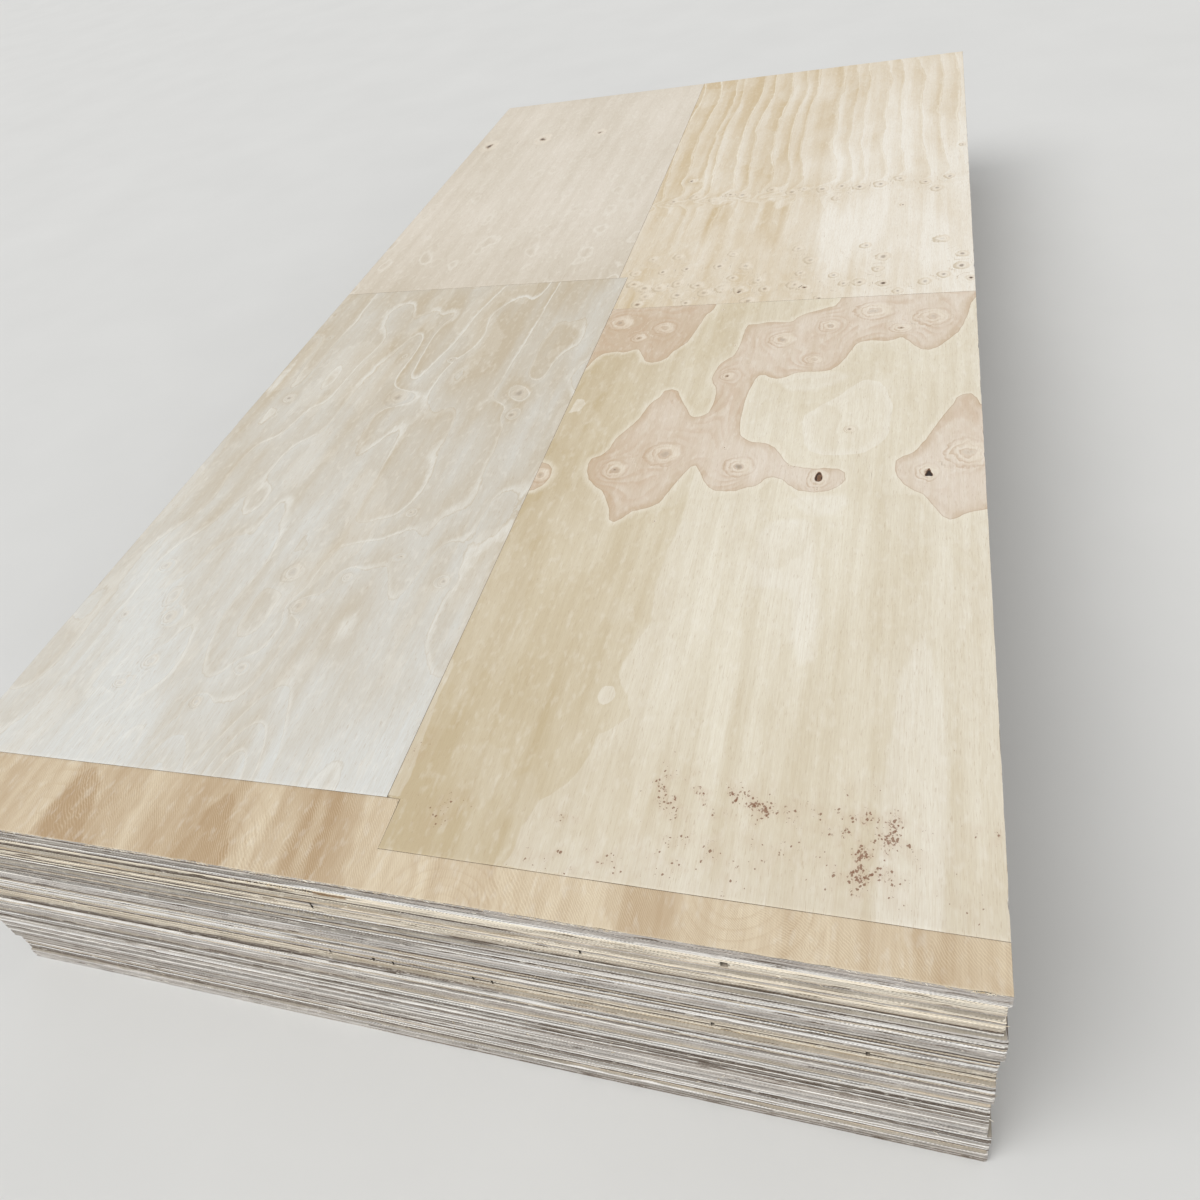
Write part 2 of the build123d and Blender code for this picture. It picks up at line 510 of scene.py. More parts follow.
def face_veneer(name, x, y, relief, marks, finish, edge_look, seed):
    """A veneer as a slab: the grid of places at the sheet's top, less its relief, and a wall round it
    down to the core. The top's rim is drawn in by a chance amount, which breaks the arris. Along the
    joints the wall is cleaner, and tan."""
    rows, columns = x.shape
    flat = np.arange(rows * columns).reshape(rows, columns)
    rim = np.concatenate([flat[0, :-1], flat[:-1, -1], flat[-1, :0:-1], flat[:0:-1, 0]])
    top = np.column_stack([x.ravel(), y.ravel()])
    outline = top[rim]
    along = np.roll(outline, -1, 0) - np.roll(outline, 1, 0)
    along = along / np.linalg.norm(along, axis=1)[:, None]
    inward = np.column_stack([-along[:, 1], along[:, 0]])
    walked = np.concatenate([[0], np.cumsum(np.linalg.norm(np.diff(outline, axis=0), axis=1))])
    from_left, from_front = outline.T
    on_side = abs(abs(from_left) - half_width) < 1e-6
    on_edge = on_side | (from_front < 1e-6) | (from_front > face_length - 1e-6)
    rough = 0.0001 * (1 + wander(walked, 0.012, seed))
    rough = rough + 0.0009 * np.clip((wander(walked, 0.025, seed + 1) - 0.6) / 0.4, 0, 1)
    rough = np.where(on_edge, rough, 0.00005 * (1 + wander(walked, 0.05, seed)))
    broken = 0.0002 + 0.0005 * np.clip(wander(walked, 0.018, seed + 2), 0, 1)
    broken = np.where(on_edge, broken, 0.00015)
    wall = outline + inward * rough[:, None]
    top[rim] = wall + inward * broken[:, None]
    places = np.concatenate([top, wall, wall])
    lip_heights = top_high - 0.4 * broken - relief.ravel()[rim]
    foot_heights = np.full(len(rim), top_high - veneer_thickness)
    heights = np.concatenate([top_high - relief.ravel(), lip_heights, foot_heights])
    ground = near_middle + places[:, :1] * face_right + places[:, 1:] * face_back

    quads = np.stack([flat[:-1, :-1], flat[:-1, 1:], flat[1:, 1:], flat[1:, :-1]], -1).reshape(-1, 4)
    upper = rows * columns + np.arange(len(rim))
    lower = upper + len(rim)
    following = np.roll(np.arange(len(rim)), -1)
    skirt = np.concatenate([
        np.stack([upper, upper[following], rim[following], rim], -1),
        np.stack([lower, lower[following], upper[following], upper], -1),
    ])
    faces = quads.tolist() + skirt.tolist() + [lower[::-1].tolist()]
    piece = wooden_piece(name, np.column_stack([ground, heights]), faces, (finish, sawn_finish))
    for mark, values in marks.items():
        values = values.reshape(rows * columns, -1)
        set_mark(piece.data, mark, np.concatenate([values, values[rim], values[rim]]))
    edge_colour = np.tile((*linear(edge_look), 1.0), (len(places), 1))
    in_joint = np.concatenate([np.zeros(len(top), bool), ~on_edge, ~on_edge])
    edge_colour[in_joint, :3] = linear(joint_wall_shade)
    side_on = np.concatenate([np.zeros(len(top)), abs(inward[:, 1]), abs(inward[:, 1])])
    set_mark(piece.data, "ply_colour", edge_colour)
    edge_place = np.column_stack([places.sum(1), heights, np.full(len(places), 60.0 + seed)])
    set_mark(piece.data, "edge_place", edge_place)
    set_mark(piece.data, "end_grain", side_on)
    others = len(faces) - len(quads)
    piece.data.polygons.foreach_set("material_index", [0] * len(quads) + [1] * others)
    piece.data.polygons.foreach_set("use_smooth", [True] * len(quads) + [False] * others)
    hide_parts(f"sheet_{len(sheet_looks):02d}")


def clouds_on(x, y, size_x, size_y, seed):
    """Smooth chance values from -1 to 1 over the face: one is drawn at each crossing of a coarse grid,
    and half cosines join them."""
    a, b = x / size_x, y / size_y
    i, j = np.floor(a).astype(int), np.floor(b).astype(int)
    s, t = 0.5 - 0.5 * np.cos(np.pi * (a - i)), 0.5 - 0.5 * np.cos(np.pi * (b - j))
    i, j = i - i.min(), j - j.min()
    drawn = np.random.default_rng(seed).uniform(-1, 1, (j.max() + 2, i.max() + 2))
    near_row = drawn[j, i] * (1 - s) + drawn[j, i + 1] * s
    far_row = drawn[j + 1, i] * (1 - s) + drawn[j + 1, i + 1] * s
    return near_row * (1 - t) + far_row * t


def sanded(x, y, size_x, size_y, seed):
    """How far the sanded face dips: smooth chance values from nought to twice the sanding relief."""
    return sanding_relief * (1 + clouds_on(x, y, size_x, size_y, seed))


def nearest_knot(x, y, knots):
    """The way to the nearest knot, across and along, in shares of its radius, and how dark its heart is.
    A knot's nearness is its distance in shares of its radius."""
    knots = np.array(knots)
    ways = np.stack([
        (x[..., None] - knots[:, 0]) / knots[:, 2],
        (y[..., None] - knots[:, 1]) / (knots[:, 2] * knots[:, 3]),
    ], -1)
    nearest = np.argmin((ways**2).sum(-1), -1)
    way = np.take_along_axis(ways, nearest[..., None, None], -2)[..., 0, :]
    return np.concatenate([way, knots[nearest, 4][..., None]], -1)


def soft_spots(x, y, spots, steep=0.5):
    """A sum of soft spots. Each is its amount times e to the power of less steep times the square of
    the distance from its place, in shares of its size across and along."""
    total = np.zeros_like(x)
    for spot_x, spot_y, size_x, size_y, amount in spots:
        square = ((x - spot_x) / size_x) ** 2 + ((y - spot_y) / size_y) ** 2
        total += amount * np.exp(-steep * square)
    return total


def knot_bumps(x, y, knots):
    """How the growth surface rises round the knots: soft spots, each as wide as its knot."""
    return soft_spots(x, y, [(*place, size, size * longer, 1.0) for *place, size, longer, _ in knots])


def about_half(tree, value, strength):
    """Chance values turned to swings about nought: their distance from a half, times a strength."""
    return times(tree, minus(tree, value, 0.5), strength)


def tooth(tree, turns, start, peak):
    """A line once in each turn: it rises from start to peak, and falls from there to the turn's end."""
    return times(tree, ramp(tree, turns, start, peak), ramp(tree, turns, peak, 1.0, 1.0, 0.0))


def dots(tree, place, scales, thickness):
    """Round spots of chance sizes, one in a cell. The thicker they stand, the more cells have one and
    the larger they are: a cell's spot is as large as its chance number goes above 1 less thickness."""
    warp = mottle(tree, place, (260, 260, 1), 2)
    shaken = put(tree, "VectorMath", {0: place, 1: times(tree, warp, 0.004)}, operation="ADD").outputs[0]
    cells = put(tree, "TexVoronoi", {"Vector": stretched(tree, shaken, scales), "Scale": 1.0})
    chance = put(tree, "SeparateColor", {0: cells.outputs["Color"]}).outputs[0]
    size = calc(tree, "MAXIMUM", plus(tree, minus(tree, chance, 1.0), thickness), 0.0)
    reach = calc(tree, "MINIMUM", times(tree, size, 0.9), 0.42)
    return ramp(tree, minus(tree, cells.outputs["Distance"], reach), -0.04, 0.02, 1.0, 0.0)


def dimple_marks(tree, place, strength):
    """Shallow hollows, one in each cell of an uneven net, that chance makes fainter or leaves out.
    Returns the amount of shade in the hollow and of light on its rim."""
    noise_place = stretched(tree, place, (22, 12, 1))
    warp = put(tree, "TexNoise", {"Vector": noise_place, "Scale": 1.0}).outputs["Color"]
    net_place = stretched(tree, place, (24, 13, 1))
    bent = put(tree, "VectorMath", {0: net_place, 1: warp}, operation="ADD").outputs[0]
    cells = put(tree, "TexVoronoi", {"Vector": bent, "Scale": 1.0})
    from_middle = cells.outputs["Distance"]
    chance = put(tree, "SeparateColor", {0: cells.outputs["Color"]}).outputs[0]
    here = times(tree, ramp(tree, chance, 0.25, 0.9, 0.0, 1.0), strength)
    from_rim = calc(tree, "ABSOLUTE", minus(tree, from_middle, 0.34))
    hollow = times(tree, ramp(tree, from_middle, 0.06, 0.32, 1.0, 0.0), here)
    return hollow, times(tree, ramp(tree, from_rim, 0.0, 0.12, 1.0, 0.0), here)


# Shades that the veneers share
island_shade = (236, 231, 219)
dry_shade = (247, 244, 235)
dimple_rim_shade = (238, 233, 222)
heart_line_shade = (198, 168, 138)
eye_shade = (241, 232, 216)
knot_edge_shade = (152, 120, 92)
knot_heart_shade = (74, 56, 42)
fine_fibre_shade = (170, 146, 114)
pore_shade = (176, 150, 118)
shimmer_shade = (246, 242, 232)
crest_shade = (244, 229, 198)
trough_shade = (176, 146, 110)
mould_stain = (190, 158, 130)
mould_spot = (130, 92, 66)
mould_crust = (128, 84, 58)
hole_rim_shade = (112, 80, 56)
hole_painted_shade = (44, 32, 25)


def veneer_finish(name, pale, tan, line, line_strength, line_width=0.4, banding=0.0, streaky=0.9,
                  cloudy=0.9, islands=0.0, dimples=0.0, fibre=0.15, chatter=0.0, knot_rings=2.6,
                  ring_strength=0.45, ring_colour=(184, 150, 114), eye_light=0.6, heart=None, dry=()):
    """Sanded face veneer. Its colour goes from pale to tan with the tone mark and with chance streaks
    and clouds. A growth line is drawn wherever the growth mark passes a whole number, as strongly as
    the figure mark says, and a knife line wherever the chatter mark does. The dry and heart marks are
    the distance into a patch of drier wood or of heartwood, knot is the way to the nearest knot and
    its darkness, hole is an open knot, and mould gathers by the grime mark."""
    material, tree, shader = new_finish(name)
    place = put(tree, "TexCoord").outputs["Object"]
    tone = read_mark(tree, "tone")
    growth = read_mark(tree, "growth")
    figure = read_mark(tree, "figure")
    fibres = mottle(tree, place, (520, 16, 1), 3, 0.6)
    fine_fibres = mottle(tree, place, (1500, 70, 1), 2, 0.6)
    streaks = mottle(tree, place, (55, 2.2, 1), 3)
    clouds = mottle(tree, place, (11, 5, 1), 4, 0.55)
    shimmer = mottle(tree, place, (150, 60, 1), 3)

    # Sapwood
    wavy = plus(tree, growth, about_half(tree, clouds, 0.25))
    wavy = plus(tree, wavy, about_half(tree, shimmer, 0.12))
    saw = calc(tree, "FRACT", wavy)
    amount = plus(tree, tone, about_half(tree, streaks, streaky))
    amount = plus(tree, amount, about_half(tree, clouds, cloudy))
    band = times(tree, about_half(tree, saw, banding), figure)
    amount = calc(tree, "ADD", amount, band, clamp=True)
    colour = blend(tree, amount, pale, tan)
    if islands:
        island = ramp(tree, mottle(tree, place, (10, 4.5, 1), 4, 0.5), 0.545, 0.565, 0.0, islands)
        colour = blend(tree, island, colour, island_shade)
    if dry:
        layers = put(tree, "SeparateXYZ", {0: read_mark(tree, "dry", "Vector")}).outputs
        ripple = about_half(tree, mottle(tree, place, (60, 26, 1), 3, 0.6), 0.010)
        for layer, (strength, softness, reach) in zip(layers, dry):
            depth = plus(tree, layer, ripple)
            inner = ramp(tree, depth, 0.0, reach, strength, 0.35 * strength)
            paler = times(tree, ramp(tree, depth, -softness, softness), inner)
            colour = blend(tree, paler, colour, dry_shade)
    patchy = ramp(tree, mottle(tree, place, (14, 5, 1), 2), 0.35, 0.6, 0.35, 1.0)
    late = times(tree, times(tree, tooth(tree, saw, 1 - line_width, 0.96), patchy), figure)
    colour = blend(tree, times(tree, late, line_strength), colour, line)
    if dimples:
        hollow, rim_light = dimple_marks(tree, place, times(tree, figure, dimples))
        colour = blend(tree, hollow, colour, tan)
        colour = blend(tree, rim_light, colour, dimple_rim_shade)

    # Heartwood: a brown outline, a browner rim, and growth lines that follow the outline
    if heart:
        inside, rim, outline, halo = heart
        ripple = about_half(tree, mottle(tree, place, (120, 60, 1), 2), 0.003)
        depth = plus(tree, read_mark(tree, "heart"), ripple)
        colour = blend(tree, ramp(tree, depth, -0.012, -0.001, 0.0, 0.6), colour, halo)
        rim_amount = ramp(tree, mottle(tree, place, (18, 10, 1), 2), 0.38, 0.62, 0.1, 0.8)
        rim_amount = times(tree, ramp(tree, depth, 0.001, 0.018, 0.9, 0.0), rim_amount)
        core = blend(tree, times(tree, amount, 0.8), inside, rim)
        core = blend(tree, rim_amount, core, rim)
        turns = calc(tree, "FRACT", plus(tree, times(tree, growth, 2.3), about_half(tree, clouds, 2.2)))
        line_amount = ramp(tree, mottle(tree, place, (22, 11, 1), 2), 0.38, 0.66, 0.0, 0.40)
        lines = times(tree, tooth(tree, turns, 0.15, 0.85), line_amount)
        core = blend(tree, lines, core, heart_line_shade)
        core = blend(tree, ramp(tree, depth, 0.0002, 0.0020, 0.5, 0.0), core, outline)
        colour = blend(tree, ramp(tree, depth, -0.0003, 0.0004), colour, core)

    # Knots: a dark heart in a pale eye, and soft brown rings round it. The rings are darker on one side and
    # the eye paler on the other: painted shade and painted highlight, as if each knot were a bump lit from
    # one side
    across, along, darkness = put(tree, "SeparateXYZ", {0: read_mark(tree, "knot", "Vector")}).outputs
    square = plus(tree, calc(tree, "POWER", across, 2.0), calc(tree, "POWER", along, 2.0))
    uneven = about_half(tree, mottle(tree, place, (90, 70, 1), 2), 0.7)
    radius = plus(tree, calc(tree, "SQRT", square), uneven)
    sideways = plus(tree, across, times(tree, along, 0.5))
    ring_painted_shade_side = ramp(tree, sideways, -0.9, 0.9, 1.0, 0.3)
    eye_painted_highlight_side = ramp(tree, sideways, -0.9, 0.9, 0.5, 1.0)
    fade = times(tree, ramp(tree, radius, 1.0, 1.6, 1.0, 0.0), ramp(tree, shimmer, 0.35, 0.6, 0.3, 1.0))
    eye = ramp(tree, radius, 0.65, 1.0, eye_light, 0.0)
    eye = times(tree, ramp(tree, radius, 0.15, 0.6, 0.35, 1.0), eye)
    colour = blend(tree, times(tree, eye, eye_painted_highlight_side), colour, eye_shade)
    turns = calc(tree, "FRACT", times(tree, radius, knot_rings))
    ring = times(tree, times(tree, tooth(tree, turns, 0.3, 0.85), fade), ring_painted_shade_side)
    colour = blend(tree, times(tree, ring, ring_strength), colour, ring_colour)
    knot_edge = times(tree, ramp(tree, radius, 0.16, 0.42, 0.6, 0.0), darkness)
    colour = blend(tree, knot_edge, colour, knot_edge_shade)
    knot_heart = times(tree, ramp(tree, radius, 0.08, 0.22, 1.0, 0.0), darkness)
    colour = blend(tree, knot_heart, colour, knot_heart_shade)

    # Fibres, the knife's chatter, mould and open knots
    colour = blend(tree, ramp(tree, fibres, 0.38, 0.72, 0.0, fibre), colour, tan)
    colour = blend(tree, ramp(tree, fine_fibres, 0.3, 0.7, 0.14, 0.0), colour, fine_fibre_shade)
    pores = mottle(tree, place, (1100, 90, 1), 2)
    colour = blend(tree, ramp(tree, pores, 0.62, 0.7, 0.0, 0.3), colour, pore_shade)
    colour = blend(tree, ramp(tree, shimmer, 0.5, 0.75, 0.0, 0.2), colour, shimmer_shade)
    relief = plus(tree, times(tree, fibres, 0.5), times(tree, fine_fibres, 0.3))
    if chatter:
        warp = about_half(tree, mottle(tree, place, (90, 40, 1), 3), 2.6)
        wave = calc(tree, "PINGPONG", plus(tree, read_mark(tree, "chatter"), warp), 0.5)
        where = ramp(tree, mottle(tree, place, (30, 30, 1), 2), 0.35, 0.6, 0.25, 1.0)
        crest = times(tree, ramp(tree, wave, 0.2, 0.42), where)
        colour = blend(tree, times(tree, crest, chatter), colour, crest_shade)
        trough = times(tree, ramp(tree, wave, 0.0, 0.2, 1.0, 0.0), where)
        colour = blend(tree, times(tree, trough, 0.5 * chatter), colour, trough_shade)
        relief = plus(tree, relief, times(tree, crest, 0.6))
    gathering = ramp(tree, mottle(tree, place, (55, 48, 1), 3), 0.4, 0.62)
    gathered = times(tree, read_mark(tree, "grime"), gathering)
    colour = blend(tree, times(tree, gathered, 0.22), colour, mould_stain)
    spots = dots(tree, place, (300, 240, 1), times(tree, gathered, 0.95))
    colour = blend(tree, times(tree, spots, 0.8), colour, mould_spot)
    ragged = plus(tree, mottle(tree, place, (300, 230, 1), 4, 0.72), times(tree, gathered, 0.185))
    colour = blend(tree, ramp(tree, ragged, 0.72, 0.77, 0.0, 0.8), colour, mould_crust)
    ragged_hole = ramp(tree, mottle(tree, place, (420, 330, 1), 2), 0.3, 0.55, 0.75, 1.1)
    ragged_hole = times(tree, read_mark(tree, "hole"), ragged_hole)
    colour = blend(tree, ramp(tree, ragged_hole, 0.05, 0.3), colour, hole_rim_shade)
    # The open knot's hole is painted near-black: painted shade in the hole
    colour = blend(tree, ramp(tree, ragged_hole, 0.4, 0.65), colour, hole_painted_shade)

    relief = plus(tree, relief, times(tree, late, 0.25))
    complete(tree, shader, colour, 0.68, relief, 0.4)
    return material


def level(value):
    """A straight side at one place, as a function of where along it."""
    return lambda places: np.full_like(places, value)


def strip_far(x):
    """The strip's far side: nearly straight on the left, then a step in, and straight again."""
    depths = [strip_left_depth, strip_middle_depth, strip_middle_depth]
    left_part = np.interp(x, [-half_width, 0.0, strip_jog], depths)
    return np.where(x < strip_jog, left_part, strip_right_depth)


def patch(x, y, left, right, near, far, soft=0.004, soft_near=0.004):
    """1 on a block of the face and 0 off it, with soft sides."""
    across = np.clip((x - left) / soft, 0, 1) * np.clip((right - x) / soft, 0, 1)
    return across * np.clip((y - near) / soft_near, 0, 1) * np.clip((far - y) / soft, 0, 1)


def flame(x, y, middle, half, tip):
    """1 within a pointed arch that stands on the near edge and narrows, as a root does, to its tip."""
    half_here = half * np.sqrt(np.clip(1 - y / tip, 0, 1))
    return np.clip((half_here - abs(x - middle)) / 0.003, 0, 1)


pale_arris_depth = 0.0018
strip_columns = spaced(-half_width, half_width, 0.0034, step_at(strip_jog))
strip_rows = spaced(0, strip_middle_depth, 0.0036, (0.0008, pale_arris_depth))
x, y = face_grid(strip_columns, strip_rows, level(-half_width), level(half_width),
                 level(0.0), lambda x: strip_far(x) - joint_gap)

# Curls of the grain, given as knots without a heart: place, size, how much longer than wide. The
# strip has no real knots, so the only one stands off the face
curls = [
    (0.110, -0.014, 0.036, 1.0, 0.0), (0.385, 0.062, 0.044, 1.0, 0.0),
    (-0.42, -0.02, 0.05, 1.6, 0.0), (-0.16, -0.03, 0.04, 1.8, 0.0),
]
no_knots = [(0.9, 0.5, 0.01, 1.0, 0.0)]
curled = knot_bumps(x, y, curls)
growth = wander(x, 0.06, 11) + 7.0 * curled + 0.8 * clouds_on(x, y, 0.06, 0.3, 12)

# Flames of darker wood: middle, half width, tip, and how much darker. Then darker bands: left and
# right side, and how much darker
strip_flames = [(-0.372, 0.038, 0.098, 0.42), (-0.178, 0.032, 0.088, 0.36), (-0.255, 0.016, 0.060, 0.2)]
strip_bands = [
    (-0.560, -0.525, 0.20), (-0.300, -0.285, 0.20), (-0.105, 0.012, 0.16), (-0.085, -0.060, 0.25),
    (-0.050, 0.000, 0.32), (0.030, 0.036, 0.2), (0.062, 0.076, 0.30), (0.150, 0.162, 0.25),
    (0.272, 0.345, 0.30), (0.430, 0.470, 0.20), (0.540, 0.560, 0.25),
]
slanted = x + 0.16 * y + 0.006 * clouds_on(x, y, 0.03, 0.02, 16)
tone = 0.46 + 0.22 * wander(slanted, 0.055, 13) + 0.16 * wander(slanted, 0.015, 15)
tone -= np.interp(x, [-0.02, 0.03, 0.25, 0.61], [0, 0.30, 0.30, 0.1])
tone += sum(darker * patch(slanted, y, left, right, -1, 1) for left, right, darker in strip_bands)
tone += sum(darker * flame(slanted, y, *arch) for *arch, darker in strip_flames)

# The near arris is painted paler, more in some places than in others: partly pale worn fibres, partly
# a painted highlight where the edge catches the light
arris_wear_and_highlight = np.clip(1 - y / pale_arris_depth, 0, 1) * np.clip(1 + 0.6 * wander(x, 0.02, 18), 0, 1)
tone -= 0.8 * arris_wear_and_highlight
chatter = (x + 0.7 * y) / 0.0028 + 14.0 * curled + 1.0 * clouds_on(x, y, 0.05, 0.05, 17)
marks = {
    "growth": growth,
    "tone": tone,
    "figure": 0.25 + 0.3 * np.clip(2 * curled, 0, 1),
    "chatter": chatter,
    "knot": nearest_knot(x, y, no_knots),
    "grime": 0.02 + 0.10 * np.exp(-0.5 * (((x - 0.40) / 0.16) ** 2)),
}
strip_finish = veneer_finish(
    "front_strip", (228, 213, 186), (181, 153, 118), (184, 156, 120), line_strength=0.5,
    streaky=1.1, cloudy=0.5, fibre=0.16, chatter=0.24)
relief = sanded(x, y, 0.02, 0.03, 14)
face_veneer("veneer_front_strip", x, y, relief, marks, strip_finish, ply_colours["grey"], 500)


# The left veneer behind the strip. It is whitish near the strip and tan at its far end, with long
# pale growth lines and a few faint eyes where knots lie just under it.
left_middle_far = 1.305
middle_joint_near = 0.002
middle_joint_far = 0.0
middle_joint_end = 1.180


def middle_joint(y):
    """The joint down the middle of the sheet, almost straight."""
    return np.interp(y, [strip_middle_depth, middle_joint_end], [middle_joint_near, middle_joint_far])


x, y = face_grid(spaced(-half_width, 0, 0.005), spaced(strip_left_depth, left_middle_far, 0.005),
                 level(-half_width), lambda y: middle_joint(y) - joint_gap,
                 lambda x: strip_far(x) + joint_gap, level(left_middle_far - joint_gap))

# Eyes and knots: place across and along, radius, how much longer than wide, how dark
faint_eyes = [
    (-0.320, 0.900, 0.022, 1.2, 0.25), (-0.097, 0.905, 0.022, 1.2, 0.25), (-0.545, 0.905, 0.012, 1.2, 0.3),
    (-0.090, 0.840, 0.010, 1.2, 0.2), (-0.296, 0.449, 0.016, 1.2, 0.1), (-0.253, 0.384, 0.014, 1.1, 0.1),
    (-0.464, 0.391, 0.014, 1.4, 0.05), (-0.444, 0.350, 0.012, 1.3, 0.1), (-0.421, 0.269, 0.012, 1.3, 0.05),
    (-0.442, 0.227, 0.010, 0.8, 0.1), (-0.310, 0.209, 0.009, 1.1, 0.1), (-0.278, 0.270, 0.008, 1.1, 0.1),
    (-0.517, 0.452, 0.010, 1.1, 0.1), (-0.521, 0.349, 0.008, 1.1, 0.2), (-0.206, 0.445, 0.008, 1.1, 0.1),
    (-0.060, 0.445, 0.008, 1.1, 0.2), (-0.167, 0.588, 0.006, 1.1, 0.6), (-0.142, 0.491, 0.006, 0.8, 0.4),
    (-0.365, 1.040, 0.004, 1.2, 0.8), (-0.265, 1.021, 0.004, 1.2, 0.8), (-0.565, 1.123, 0.004, 1.2, 0.7),
]
# Arches of growth lines that open towards the strip, given in the same way
arches = [
    (-0.300, 0.080, 0.024, 3.4, 0.0), (-0.205, 0.080, 0.022, 3.6, 0.0), (-0.420, 0.100, 0.018, 3.2, 0.0),
]
growth = 1.5 * clouds_on(x, y, 0.10, 0.34, 21) + 0.6 * clouds_on(x, y, 0.04, 0.12, 22) + 5.0 * x - 1.5 * y
growth += 1.4 * knot_bumps(x, y, faint_eyes) + 2.6 * knot_bumps(x, y, arches)
streak_middle = np.interp(y, [0.10, 0.45], [-0.40, -0.53])
white_streak = np.exp(-(((x - streak_middle) / 0.045) ** 2)) * np.interp(y, [0.42, 0.55], [1, 0])
tone = np.interp(y, [0.1, 0.35, 0.8, 1.05, 1.3], [0.20, 0.50, 0.70, 0.74, 0.8])
tone += 0.2 * clouds_on(x, y, 0.10, 0.6, 23) - 0.55 * white_streak
marks = {
    "growth": growth,
    "tone": tone,
    "figure": np.interp(y, [0.1, 1.0], [0.8, 1.0]),
    "knot": nearest_knot(x, y, faint_eyes),
    "grime": np.full_like(x, 0.02),
}
left_middle_finish = veneer_finish(
    "left_middle_face", (223, 224, 220), (199, 186, 163), (240, 240, 234), line_strength=0.65,
    line_width=0.2, banding=0.35, streaky=0.7, islands=0.2, ring_strength=0.5,
    ring_colour=(188, 177, 158), eye_light=0.3)
relief = sanded(x, y, 0.03, 0.06, 24)
face_veneer("veneer_left_middle", x, y, relief, marks, left_middle_finish, ply_colours["grey"], 510)


# The left veneer at the back. It is the palest, from a slow grown outer log: almost even, with a
# faint dimpled figure and three small dark knots in a row near its far end.
rear_joint_points = ((1.3051, -0.017), (1.713, -0.023), (1.985, -0.028), (2.440, -0.040))


def rear_joint(y):
    """The rear part of the middle joint, which slants to the left as it goes back."""
    return np.interp(y, *zip(*rear_joint_points))


x, y = face_grid(spaced(-half_width, -0.02, 0.006), spaced(left_middle_far, face_length, 0.006),
                 level(-half_width), lambda y: rear_joint(y) - joint_gap,
                 level(left_middle_far + joint_gap), level(face_length))
back_knots = [
    (-0.569, 2.132, 0.030, 1.5, 1.0), (-0.418, 2.140, 0.028, 1.5, 1.0), (-0.262, 2.143, 0.020, 1.5, 0.8),
]
growth = 1.2 * clouds_on(x, y, 0.09, 0.4, 31) + 0.9 * clouds_on(x, y, 0.03, 0.045, 32)
tone = 0.35 + 0.25 * clouds_on(x, y, 0.12, 0.4, 33) + np.interp(y, [1.3, 1.7], [0.3, 0.0])
marks = {
    "growth": growth,
    "tone": tone,
    "figure": np.interp(y, [1.3, 1.7, 2.1], [1.0, 0.6, 0.2]),
    "knot": nearest_knot(x, y, back_knots),
    "grime": np.full_like(x, 0.01),
}
left_rear_finish = veneer_finish(
    "left_rear_face", (229, 221, 208), (205, 194, 175), (205, 195, 180), line_strength=0.15,
    islands=0.12, dimples=0.6, ring_strength=0.15)
relief = sanded(x, y, 0.03, 0.05, 34)
face_veneer("veneer_left_rear", x, y, relief, marks, left_rear_finish, ply_colours["grey"], 520)


# The right veneer behind the strip. Its log had whorls of branches, so pinkish heartwood shows in
# patches round the knots, each with a dark outline, and twice over, because the knife went round
# the log. Mould has specked its near end.
right_middle_far = 1.180

